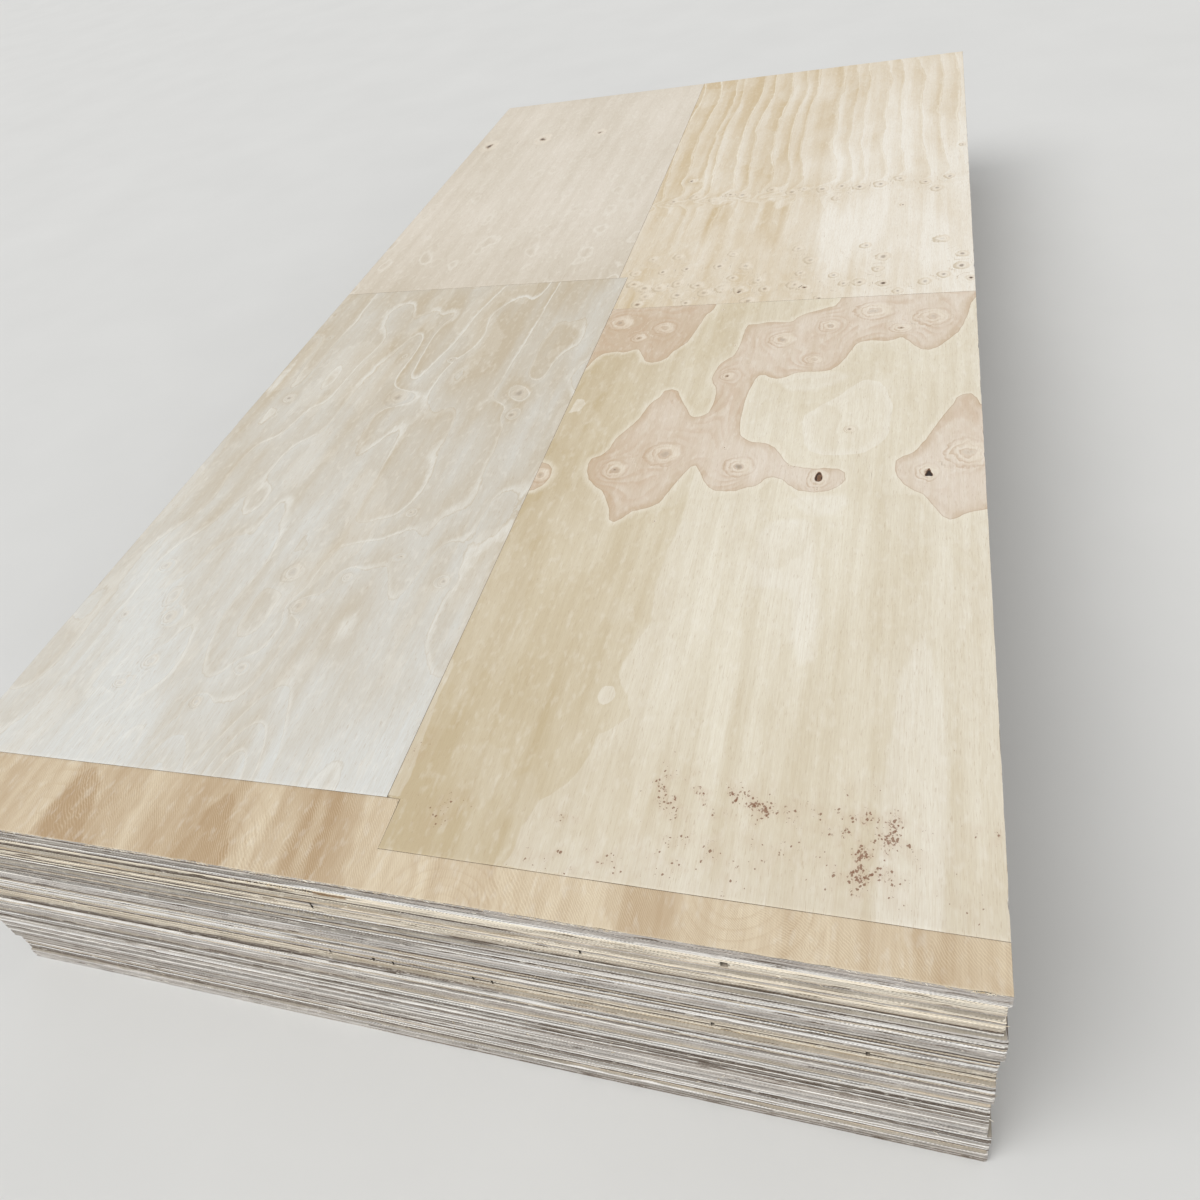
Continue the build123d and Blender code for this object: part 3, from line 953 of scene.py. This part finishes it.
# Outlines of the heartwood, in millimetres
heart_outlines = [
    [(190, 1200), (188, 1165), (184, 1152), (178, 1146), (175, 1125), (170, 1100), (165, 1070), (161, 1052),
     (150, 1033), (141, 1022), (136, 1003), (125, 992), (111, 988), (100, 994), (93, 1008), (86, 1023),
     (80, 1033), (74, 1034), (62, 1027), (54, 1025), (45, 1028), (35, 1027), (22, 1023), (14, 1015),
     (7, 998), (2, 978), (-20, 960), (-20, 1200)],
    [(407, 1200), (400, 1172), (393, 1152), (380, 1147), (368, 1140), (350, 1132), (335, 1120), (328, 1106),
     (322, 1103), (300, 1106), (285, 1106), (270, 1101), (256, 1102), (252, 1085), (251, 1050), (249, 1020),
     (245, 1002), (235, 990), (227, 978), (222, 955), (220, 935), (224, 920), (230, 908), (234, 890),
     (234, 860), (231, 838), (222, 828), (210, 826), (203, 832), (196, 848), (186, 868), (178, 885),
     (172, 900), (162, 905), (151, 902), (147, 885), (137, 868), (131, 850), (128, 830), (120, 810),
     (110, 790), (101, 770), (98, 745), (88, 728), (76, 722), (74, 708), (77, 690), (85, 670),
     (97, 655), (110, 645), (120, 628), (130, 605), (137, 582), (144, 575), (152, 583), (165, 600),
     (185, 608), (198, 618), (203, 632), (210, 655), (220, 685), (228, 702), (234, 706), (240, 695),
     (250, 672), (260, 655), (270, 648), (285, 646), (300, 648), (310, 655), (320, 657), (328, 664),
     (335, 676), (345, 679), (357, 673), (368, 660), (380, 650), (400, 646), (420, 650), (432, 660),
     (439, 675), (437, 690), (428, 698), (410, 700), (400, 697), (385, 700), (365, 705), (356, 715),
     (348, 732), (338, 748), (325, 758), (305, 761), (295, 768), (286, 780), (283, 800), (281, 830),
     (281, 870), (284, 900), (288, 925), (293, 941), (302, 941), (310, 933), (320, 929), (330, 930),
     (340, 938), (350, 945), (365, 947), (385, 946), (400, 950), (412, 965), (420, 985), (427, 1005),
     (432, 1022), (440, 1032), (455, 1035), (475, 1031), (490, 1034), (500, 1042), (510, 1030), (520, 1013),
     (530, 1002), (540, 1000), (552, 1007), (562, 1020), (572, 1035), (582, 1050), (590, 1075), (598, 1110),
     (602, 1140), (608, 1155), (630, 1200)],
    [(630, 617), (610, 617), (595, 613), (585, 608), (575, 599), (567, 595), (558, 602), (550, 618),
     (542, 632), (536, 645), (525, 652), (512, 665), (503, 682), (500, 700), (501, 718), (510, 727),
     (522, 735), (530, 750), (538, 765), (545, 785), (553, 805), (563, 830), (573, 850), (578, 868),
     (587, 875), (597, 877), (604, 865), (608, 850), (630, 840)],
    [(-20, 712), (0, 712), (12, 708), (22, 695), (24, 675), (18, 655), (8, 645), (0, 642),
     (-20, 642)],
]
# Knots: place across and along, radius, how much longer than wide, how dark
heart_knots = [
    (0.027, 1.129, 0.026, 1.0, 0.35), (0.112, 1.102, 0.020, 1.0, 0.1), (0.073, 1.071, 0.014, 1.0, 0.6),
    (0.318, 1.047, 0.022, 1.0, 0.25), (0.389, 1.086, 0.016, 1.1, 0.6), (0.457, 1.129, 0.030, 0.9, 0.15),
    (0.545, 1.103, 0.026, 1.0, 0.2), (0.499, 1.070, 0.016, 0.9, 0.9), (0.244, 0.940, 0.012, 1.0, 1.0),
    (0.372, 0.982, 0.014, 0.9, 0.1), (0.184, 0.732, 0.027, 1.0, 0.2), (0.118, 0.694, 0.018, 1.2, 0.7),
    (0.295, 0.702, 0.021, 1.0, 0.4), (0.404, 0.677, 0.014, 1.5, 1.0), (0.541, 0.693, 0.015, 1.2, 1.0),
    (0.590, 0.735, 0.026, 1.2, 0.1), (0.008, 0.680, 0.014, 1.3, 0.2), (0.437, 0.791, 0.008, 1.0, 0.5),
    (0.404, 0.653, 0.0035, 1.0, 1.0), (0.268, 0.748, 0.003, 1.0, 0.9), (0.362, 0.705, 0.003, 1.0, 0.8),
    (0.243, 1.035, 0.003, 1.4, 0.8), (0.205, 1.158, 0.003, 1.2, 0.7), (0.200, 0.580, 0.003, 1.2, 0.7),
]
# Mould: place across and along, size across and along, how thick
mould = [
    (0.375, 0.150, 0.036, 0.015, 1.25), (0.305, 0.166, 0.022, 0.022, 0.95),
    (0.493, 0.156, 0.034, 0.022, 0.70), (0.489, 0.095, 0.018, 0.026, 0.70),
    (0.510, 0.120, 0.030, 0.030, 0.50), (0.598, 0.150, 0.012, 0.008, 0.90),
    (0.016, 0.155, 0.012, 0.035, 0.60), (0.073, 0.098, 0.018, 0.025, 0.60),
    (0.220, 0.063, 0.035, 0.012, 0.85), (0.205, 0.113, 0.012, 0.006, 0.80),
    (0.360, 0.085, 0.070, 0.030, 0.60), (0.560, 0.070, 0.030, 0.030, 0.35),
]
# Open knots: place across and along, half width and half length, how much of it a loose middle
# fills, and how three-sided it is
open_knots = [(0.404, 0.680, 0.0046, 0.0102, 0.66, 0.08), (0.542, 0.690, 0.0038, 0.0068, 0.0, 0.28)]
hole_depth = 0.8 * veneer_thickness

# Drier wood shows pale, with a crisp side where the knife passed from one year's growth to the next:
# three layers of it, outlined in millimetres
dry_outlines = [
    [
        [(154, 48), (160, 64), (164, 105), (169, 126), (184, 141), (198, 155), (209, 191), (212, 218),
         (226, 232), (239, 246), (232, 270), (221, 291), (212, 309), (221, 350), (234, 391), (225, 455),
         (228, 520), (236, 580), (235, 680), (260, 800), (265, 1000), (400, 1060), (640, 1130), (640, 40)],
        [(0, 110), (16, 110), (18, 150), (12, 200), (9, 300), (0, 330)],
    ],
    [
        [(340, 560), (352, 583), (366, 588), (395, 590), (406, 580), (409, 540), (413, 500), (420, 460),
         (427, 400), (424, 350), (412, 340), (398, 380), (395, 440), (385, 462), (365, 460), (345, 462),
         (338, 500)],
        [(370, 632), (400, 643), (440, 640), (447, 625), (430, 604), (405, 596), (385, 612)],
        [(325, 922), (345, 942), (380, 942), (410, 948), (428, 930), (405, 905), (370, 892), (338, 900)],
        [(500, 40), (505, 200), (515, 330), (540, 400), (560, 300), (562, 150), (560, 40)],
    ],
    [
        [(373, 827), (393, 853), (413, 873), (433, 900), (448, 917), (460, 921), (473, 913), (481, 897),
         (487, 873), (493, 847), (493, 813), (489, 780), (477, 752), (460, 735), (433, 729), (407, 729),
         (387, 740), (377, 760), (372, 793)],
        [(204, 288), (209, 289), (213, 285), (216, 277), (216, 270), (212, 263), (207, 260), (201, 262),
         (198, 269), (197, 277), (200, 285)],
        [(6, 842), (24, 848), (29, 868), (22, 880), (10, 884)],
    ],
]


def distance_inside(x, y, outlines):
    """How far each place is inside outlines in millimetres, and below nought outside: the distance to
    the nearest point of the nearest side, with its sign from how many sides a line to the right
    crosses."""
    places = np.stack([x.ravel(), y.ravel()], -1)
    nearest = np.full(len(places), 9.0)
    crossings = np.zeros(len(places), int)
    for outline in outlines:
        corners = np.array(outline) / 1000
        for start, end in zip(corners, np.roll(corners, -1, 0)):
            side = end - start
            from_start = places - start
            share = np.clip(from_start @ side / (side @ side), 0, 1)
            nearest = np.minimum(nearest, np.linalg.norm(from_start - share[:, None] * side, axis=1))
            low, high = sorted((start[1], end[1]))
            spans = (places[:, 1] >= low) & (places[:, 1] < high)
            if side[1]:
                crossed_at = start[0] + (places[:, 1] - start[1]) / side[1] * side[0]
                crossings += spans & (crossed_at > places[:, 0])
    return np.where(crossings % 2 == 1, nearest, -nearest).reshape(x.shape)


def hole_depths(x, y, knots):
    """How deep the open knots go: to their bottom within the outline, and less in a loose middle.
    The distance from the middle grows and shrinks three times round, which makes it three-sided."""
    depth = np.zeros_like(x)
    for kx, ky, half_across, half_along, loose, three_sided in knots:
        across, along = (x - kx) / half_across, (y - ky) / half_along
        reach = np.hypot(across, along) * (1 + three_sided * np.sin(3 * np.arctan2(along, across)))
        depth = np.maximum(depth, hole_depth * np.clip((1.15 - reach) / 0.5, 0, 1))
        middle = np.hypot(across - 0.1, (along + 0.15) * 0.8)
        depth = np.where(middle < loose, 0.3 * hole_depth, depth)
    return depth


def right_middle_left(y):
    """The veneer's left side: it steps in beside the strip."""
    return np.where(y < strip_middle_depth, strip_jog, middle_joint(y)) + joint_gap


# Closer columns and rows round the open knots, and a row on each side of the step
close_columns = np.concatenate([np.arange(0.3975, 0.4110, 0.0009), np.arange(0.5355, 0.5490, 0.0009)])
close_rows = np.concatenate([np.arange(0.667, 0.7, 0.0011), step_at(strip_middle_depth)])
x, y = face_grid(spaced(0, half_width, 0.0036, close_columns),
                 spaced(strip_right_depth, right_middle_far, 0.0036, close_rows),
                 right_middle_left, level(half_width),
                 level(strip_right_depth + joint_gap), level(right_middle_far - joint_gap))
heart_depth = distance_inside(x, y, heart_outlines)
growth = 0.9 * np.tanh(heart_depth / 0.03) + 1.2 * knot_bumps(x, y, heart_knots)
growth += 0.9 * clouds_on(x, y, 0.12, 0.35, 41) + 0.3 * clouds_on(x, y, 0.04, 0.09, 42)

# Darker and, below nought, paler places: place and size across and along, how much darker
tone_spots = [
    (0.080, 1.090, 0.120, 0.100, 0.50), (0.060, 0.930, 0.060, 0.090, 0.25),
    (0.185, 0.185, 0.020, 0.055, -0.18), (0.105, 0.200, 0.022, 0.080, -0.12),
]
tone = 0.20 + 0.16 * clouds_on(x, y, 0.16, 0.35, 43) + soft_spots(x, y, tone_spots, steep=1.0)
tone += 0.46 * np.interp(x, [0, 0.32], [1, 0]) + 0.34 * np.interp(y, [0.05, 0.5], [1, 0])
tone += 0.12 * np.interp(x, [0.10, 0.24], [1, 0]) * np.interp(y, [0.30, 0.50], [1, 0])
holes = hole_depths(x, y, open_knots)
marks = {
    "growth": growth,
    "tone": tone,
    "figure": np.full_like(x, 0.4),
    "heart": heart_depth,
    "knot": nearest_knot(x, y, heart_knots),
    "grime": 0.02 + soft_spots(x, y, mould),
    "hole": holes / hole_depth,
    "dry": np.stack([distance_inside(x, y, outlines) for outlines in dry_outlines], -1),
}

# The heartwood's shades are its inside, its rim, its outline and the pale halo round it. Each layer
# of drier wood has its strength, how soft its side is, and how far in it fades
right_middle_finish = veneer_finish(
    "right_middle_face", (235, 228, 209), (200, 183, 149), (202, 184, 148), line_strength=0.25,
    banding=0.1, streaky=1.1, islands=0.12, fibre=0.2, ring_strength=0.6, eye_light=0.75,
    heart=((232, 221, 207), (201, 178, 150), (170, 140, 108), (239, 232, 215)),
    dry=((0.26, 0.0008, 0.10), (0.36, 0.006, 0.06), (0.42, 0.0008, 0.022)))
relief = sanded(x, y, 0.03, 0.06, 44) + holes
face_veneer("veneer_right_middle", x, y, relief, marks, right_middle_finish, ply_colours["pale"], 530)


# The right veneer at the back. It was cut nearly along the rings, so wavy bands run down it, and
# pin knots stand in rows across it where the young tree had its whorls.
def right_rear_left(y):
    """The veneer's left side: straight beside the left middle veneer, then along the rear joint."""
    return np.where(y < left_middle_far, middle_joint_far, rear_joint(y)) + joint_gap


# Pin knots: rows along the sheet, with their places across it, then the knots that are dark
pin_rows = {
    1.188: (0.039, 0.135, 0.244, 0.366, 0.489),
    1.225: (0.053, 0.114, 0.157, 0.224, 0.271, 0.396, 0.527),
    1.256: (0.039, 0.144, 0.254, 0.378, 0.070),
    1.274: (0.018, 0.103, 0.209, 0.325, 0.455, 0.589),
    1.324: (0.016, 0.112, 0.216, 0.339, 0.466, 0.591, 0.070, 0.165),
    1.381: (0.035, 0.089, 0.192, 0.309, 0.434, 0.560),
    1.648: (0.030, 0.112, 0.171, 0.271, 0.330, 0.403, 0.448, 0.534),
    1.600: (0.548, 0.360),
    1.662: (0.071, 0.142, 0.225, 0.300, 0.372, 0.487, 0.575),
    1.240: (0.192, 0.312, 0.430, 0.560),
}
shake = np.random.default_rng(50)
pins = []
for along, row in pin_rows.items():
    for across in row:
        shaken_across = across + shake.uniform(-0.006, 0.006)
        shaken_along = along + shake.uniform(-0.008, 0.008)
        radius = shake.uniform(0.012, 0.018)
        pins.append((shaken_across, shaken_along, radius, 1.1, shake.uniform(0.15, 0.6)))
pins += [
    (0.222, 1.219, 0.009, 1.1, 0.9), (0.336, 1.224, 0.013, 1.0, 1.0), (0.466, 1.224, 0.014, 1.0, 1.0),
    (0.604, 1.227, 0.012, 1.0, 1.0), (0.045, 1.755, 0.012, 1.2, 0.9), (0.490, 1.540, 0.007, 1.2, 0.8),
    (0.600, 1.820, 0.009, 1.2, 0.7),
]
x, y = face_grid(spaced(0, half_width, 0.0042),
                 spaced(right_middle_far, face_length, 0.0042, step_at(left_middle_far)),
                 right_rear_left, level(half_width),
                 level(right_middle_far + joint_gap), level(face_length))

# Pale lines between the bands: their places across, and how far they drift along the sheet
band_lines = (
    -0.075, -0.028, 0.016, 0.057, 0.074, 0.125, 0.157, 0.203, 0.239, 0.266,
    0.334, 0.366, 0.394, 0.439, 0.471, 0.516, 0.556, 0.590, 0.640, 0.700,
)
drift_places = [1.38, 1.60, 1.66, 1.75, 1.88, 2.03, 2.26, 2.44]
drift = np.interp(y, drift_places, [0.004, 0.008, 0.026, 0.016, 0.005, 0.0, 0.010, -0.004])
straightened = x - drift + 0.004 * clouds_on(x, y, 0.16, 0.11, 55)
straightened += 0.0022 * clouds_on(x, y, 0.05, 0.04, 54)
crossing = np.exp(-(((y - 1.635) / 0.022) ** 2))
growth = np.interp(straightened, band_lines, np.arange(len(band_lines)))
growth += 0.1 * clouds_on(x, y, 0.03, 0.2, 52) + 0.8 * knot_bumps(x, y, pins)
growth += 1.4 * crossing * clouds_on(x, y, 0.03, 0.02, 56)

# Tongues of darker wood on the near side of the crossing row: left, right, near and far side, and
# how much darker. Then paler places: place and size across and along, and how much paler
tongue_sides = [
    (0.212, 0.268, 1.380, 1.600, 1.0), (0.104, 0.150, 1.430, 1.615, 0.8), (0.008, 0.036, 1.440, 1.605, 0.5),
]
white_spots = [
    (0.360, 1.785, 0.085, 0.110, 1.0), (0.400, 1.400, 0.090, 0.160, 1.0), (0.560, 1.400, 0.060, 0.200, 0.5),
]
ragged_y = y + 0.03 * clouds_on(x, y, 0.018, 0.5, 58)
tongues = np.zeros_like(x)
for *sides, darker in tongue_sides:
    tongues += darker * patch(straightened, ragged_y, *sides, soft=0.010, soft_near=0.09)
white = soft_spots(x, y, white_spots, steep=1.0)
far_bands = np.interp(y, [1.45, 1.55, 1.66, 1.75], [0.25, 0.6, 0.8, 1.0])
left_bands = np.interp(x, [0.2, 0.42], [1.0, 0.35])
tone = np.interp(x, [0, 0.3, 0.45, 0.61], [0.95, 0.70, 0.25, 0.18])
tone *= np.interp(y, [1.2, 1.5, 1.9, 2.4], [0.85, 0.65, 0.8, 1.0])
tone += 0.15 * clouds_on(x, y, 0.12, 0.25, 57) + 0.4 * tongues - 0.24 * white
tone += 0.35 * np.interp(y, [1.8, 2.4], [0, 1]) * np.interp(x, [0.3, 0.5], [0, 1])
marks = {
    "growth": growth,
    "tone": tone,
    "figure": np.clip(far_bands * np.where(y > 1.66, np.maximum(left_bands, 0.7), left_bands), 0.15, 1),
    "knot": nearest_knot(x, y, pins),
    "grime": np.full_like(x, 0.012),
}
right_rear_finish = veneer_finish(
    "right_rear_face", (243, 238, 227), (209, 189, 154), (248, 243, 230), line_strength=0.8,
    line_width=0.14, banding=0.6, cloudy=0.8, islands=0.2, dimples=0.1, knot_rings=1.1,
    ring_strength=0.8, ring_colour=(190, 172, 142), eye_light=0.9)
relief = sanded(x, y, 0.03, 0.06, 53)
face_veneer("veneer_right_rear", x, y, relief, marks, right_rear_finish, ply_colours["pale"], 540)


# Torn fibres and splinters. The saw frays the top sheet's front arris into a pale fringe, and lifts
# splinters here and there from the edges of the sheets below, most of all at their right ends.
def slivers(name, roots, reaches, widths, sags, finish):
    """Thin pointed slivers, each from its root to root plus reach. Each has five cross-sections,
    triangles whose size falls towards the tip as the square root of what is left, on a line that sags
    by the square of the way along. Handling has pressed them back behind the outermost sheets."""
    sections = 5
    share = np.linspace(0, 0.98, sections)
    count = len(roots)
    line = roots[:, None] + share[:, None] * reaches[:, None]
    line[..., 2] -= sags[:, None] * share**2
    unit = reaches / np.linalg.norm(reaches, axis=1)[:, None]
    side = np.cross(unit, (0.13, 0.21, 0.97))
    side = side / np.linalg.norm(side, axis=1)[:, None]
    up = np.cross(side, unit)
    turns = 2 * np.pi * np.arange(3) / 3
    ring = np.cos(turns)[:, None] * side[:, None] + 0.5 * np.sin(turns)[:, None] * up[:, None]
    size = 0.5 * widths[:, None] * np.sqrt(1 - share)
    points = line[:, :, None] + size[..., None, None] * ring[:, None]
    margin = 0.00005
    points = np.clip(points, np.add(solid_box[0], margin), np.subtract(solid_box[1], margin))
    ends = (np.arange(count) * sections * 3)[:, None]
    first = ends[:, None] + (np.arange(sections - 1) * 3)[None, :, None]
    corner, following = np.arange(3), np.roll(np.arange(3), -1)
    quads = np.stack([first + corner, first + following, first + 3 + following, first + 3 + corner], -1)
    tips = ends + (sections - 1) * 3
    faces = quads.reshape(-1, 4).tolist() + (ends + corner[::-1]).tolist() + (tips + corner).tolist()
    piece = wooden_piece(name, points.reshape(-1, 3), faces, (finish,))


splinter_finish, tree, shader = new_finish("torn_fibres")
place = put(tree, "TexCoord").outputs["Object"]
amount = ramp(tree, mottle(tree, place, (90, 90, 90), 3), 0.35, 0.65)
complete(tree, shader, blend(tree, amount, (244, 238, 224), (214, 196, 164)), 0.8)

chance = np.random.default_rng(77)
across = chance.uniform(-half_width + 0.012, half_width - 0.012, 1500)
thick_here = 0.50 + 0.45 * wander(across, 0.05, 71) - np.interp(across, [-0.1, 0.3], [0.0, 0.25])
across = across[chance.uniform(0, 1, len(across)) < thick_here]
count = len(across)
roots = np.column_stack([
    near_middle[0] + across,
    near_middle[1] + chance.uniform(0.0001, 0.0010, count),
    top_high - chance.uniform(0.0001, 0.0009, count),
])
reaches = np.column_stack([
    chance.choice([-1, 1], count) * chance.uniform(0.0015, 0.0075, count),
    -chance.uniform(0.0003, 0.0018, count),
    -chance.uniform(-0.0002, 0.0012, count),
])
widths = chance.uniform(0.0004, 0.0013, count)
sags = chance.uniform(0, 0.0006, count)
slivers("fringe_of_torn_fibres", roots, reaches, widths, sags, splinter_finish)

# Splinters on the front: place from the middle, height below the top, and length. Some are where
# they show, more stand along the torn runs, and others are scattered
front_splinters = [
    (-0.092, 0.0185, 0.014), (-0.084, 0.0195, 0.012), (-0.070, 0.0210, 0.012), (-0.002, 0.0330, 0.010),
    (0.004, 0.0345, 0.012), (0.058, 0.0420, 0.013), (0.064, 0.0450, 0.014), (0.070, 0.0440, 0.011),
    (0.262, 0.0560, 0.009), (0.418, 0.0190, 0.010), (0.530, 0.0980, 0.009), (0.150, 0.2100, 0.009),
    (-0.330, 0.0900, 0.009), (-0.480, 0.1350, 0.010), (-0.210, 0.1800, 0.008), (0.350, 0.2650, 0.010),
]
splinters_in_a_run = 45
torn_places = []
for number, runs in torn_runs.items():
    for start, end, torn_ply in runs:
        plies_above = (sheet_total - number) * ply_count + (ply_count - torn_ply - 0.5)
        for _ in range(splinters_in_a_run):
            from_middle = chance.uniform(start + 0.004, end)
            below_top = plies_above * ply_thickness + chance.uniform(-0.001, 0.001)
            torn_places.append((from_middle, below_top, chance.uniform(0.003, 0.006)))
scattered_count = 140
scattered = np.column_stack([
    chance.uniform(-0.6, 0.6, scattered_count),
    chance.uniform(0.02, 0.32, scattered_count),
    chance.uniform(0.003, 0.008, scattered_count),
])
places_along, below_tops, lengths = np.concatenate([front_splinters, torn_places, scattered]).T
sheet_height = top_high / sheet_total
numbers = np.clip(((top_high - below_tops) / sheet_height).astype(int), 0, sheet_total - 1)
outlines = [corners_of(f"sheet_{number:02d}")[0] for number in range(1, sheet_total + 1)]
front_faces = np.array([outline[0, 1] for outline in outlines])
right_faces = np.array([outline[1, 0] for outline in outlines])
count = len(lengths)
steep = chance.uniform(-1.1, 1.1, count)
roots = np.column_stack([places_along, front_faces[numbers] + 0.0003, top_high - below_tops])
ways = np.column_stack([np.sin(steep), np.full(count, -0.12), -0.8 * np.cos(steep)])
widths = chance.uniform(0.0006, 0.0013, count)
sags = np.full(count, 0.0005)
slivers("front_splinters", roots, lengths[:, None] * ways, widths, sags, splinter_finish)

# Splinters and torn corners on the right side, most of them near the front
count = 170
numbers = chance.integers(0, sheet_total - 1, count)
room = right_faces.max() - right_faces[numbers]
roots = np.column_stack([
    right_faces[numbers] - 0.0006,
    front_faces[numbers] + 0.001 + chance.uniform(0, 1, count) ** 2 * 1.2,
    (numbers + chance.uniform(0.1, 0.9, count)) * sheet_height,
])
ways = np.column_stack([
    chance.uniform(0.3, 0.9, count), chance.uniform(-0.2, 1, count), chance.uniform(-0.5, 0.5, count),
])
lengths = np.minimum(chance.uniform(0.002, 0.006, count), room + 0.0004)
reaches = lengths[:, None] * ways / np.linalg.norm(ways, axis=1)[:, None]
widths = chance.uniform(0.0004, 0.0014, count)
sags = np.full(count, 0.0004)
slivers("right_splinters", roots, reaches, widths, sags, splinter_finish)


# Floor: plain and pale
floor_size = 14.0
floor_mesh = bpy.data.meshes.new("floor")
floor_corners = [(x * floor_size, y * floor_size, 0) for x, y in ((-1, -1), (1, -1), (1, 1), (-1, 1))]
floor_mesh.from_pydata(floor_corners, [], [(0, 1, 2, 3)])
floor = bpy.data.objects.new("floor", floor_mesh)
bpy.context.scene.collection.objects.link(floor)
floor_finish, tree, shader = new_finish("pale_floor")
place = put(tree, "TexCoord").outputs["Object"]
colour = blend(tree, mottle(tree, place, (3, 3, 3), 4), (214, 214, 212), (222, 222, 220))
complete(tree, shader, colour, 0.9)
floor_mesh.materials.append(floor_finish)

# Light: an even sky, a broad soft lamp over the left and a weaker one from the front right. Each
# lamp has its name, the way towards it and its strength
sky_strength = 0.5
backdrop_strength = 0.80
lamp_spread = 40
lamps = (("overhead", (-0.40, -0.44, 0.80), 1.55), ("front", (0.566, -0.755, 0.33), 0.9))
world = bpy.data.worlds.new("studio")
bpy.context.scene.world = world
world.use_nodes = True
tree = world.node_tree
rays = put(tree, "LightPath").outputs
seen = calc(tree, "MAXIMUM", rays["Is Camera Ray"], rays["Is Glossy Ray"])
seen = calc(tree, "MAXIMUM", seen, rays["Is Transmission Ray"])
strength = put(tree, "Mix", {0: seen, 2: sky_strength, 3: backdrop_strength}).outputs[0]
tree.links.new(strength, tree.nodes["Background"].inputs["Strength"])
tree.nodes["Background"].inputs["Color"].default_value = (1.0, 1.0, 1.0, 1)
for name, (across, along, high), strength in lamps:
    lamp = bpy.data.lights.new(name, "SUN")
    lamp.energy = strength
    lamp.angle = math.radians(lamp_spread)
    lamp_object = bpy.data.objects.new(name, lamp)
    lamp_object.rotation_euler = (math.acos(high), 0, math.atan2(along, across) + math.pi / 2)
    bpy.context.scene.collection.objects.link(lamp_object)

# Camera: a telephone held a little tilted, above the near right corner. The photograph is measured
# in pixels of its true shape, 1200 across and 1600 down, and the render shows a square window of it
camera_place = (0.5297, -1.6672, 1.1873)
camera_turn = (51.639, 11.713, 16.490)
focal_pixels = 1134.8
middle_across = 600.0
middle_down = 800.0
window = 1330.0
window_left = 0.0
window_top = 216.0
sensor_width = 36.0
camera_data = bpy.data.cameras.new("camera")
camera = bpy.data.objects.new("camera", camera_data)
bpy.context.scene.collection.objects.link(camera)
bpy.context.scene.camera = camera
camera.location = camera_place
camera.rotation_euler = [math.radians(angle) for angle in camera_turn]
camera_data.sensor_width = sensor_width
camera_data.lens = sensor_width * focal_pixels / window
camera_data.shift_x = (window_left + window / 2 - middle_across) / window
camera_data.shift_y = -(window_top + window / 2 - middle_down) / window
camera_data.clip_start = 0.05
bpy.context.scene.view_settings.view_transform = "Standard"
